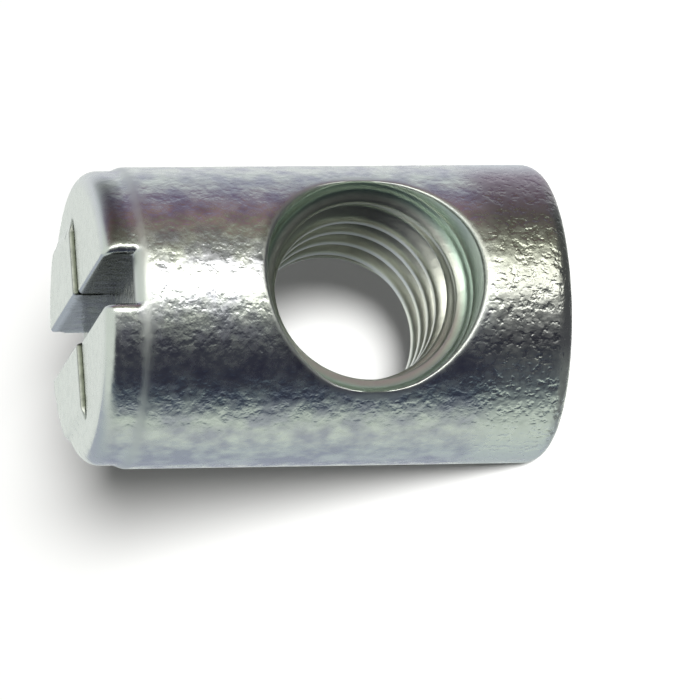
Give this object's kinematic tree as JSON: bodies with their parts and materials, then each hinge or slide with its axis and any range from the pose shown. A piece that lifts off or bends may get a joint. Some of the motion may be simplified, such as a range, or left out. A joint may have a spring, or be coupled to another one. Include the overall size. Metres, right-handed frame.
{
  "type": "furniture joint connector",
  "caption": "Short round steel barrel nut with a threaded cross hole and a screwdriver slot in one end, for bolted furniture joints.",
  "frame": {"origin": "centre of the flat plain end, which the part stands on", "axes": "+Z along the barrel to the slotted end, Y along the threaded hole and the screwdriver slot, +Y towards the raised half of the slotted face"},
  "size_m": [0.012, 0.012, 0.019],
  "materials": {
    "zinc_plated_steel": "bright zinc plate with a clear, faintly rainbow-tinted chromate, over a slightly pitted turned surface"
  },
  "bodies": {
    "root": {"barrel_nut": "zinc_plated_steel"}
  },
  "joints": []
}
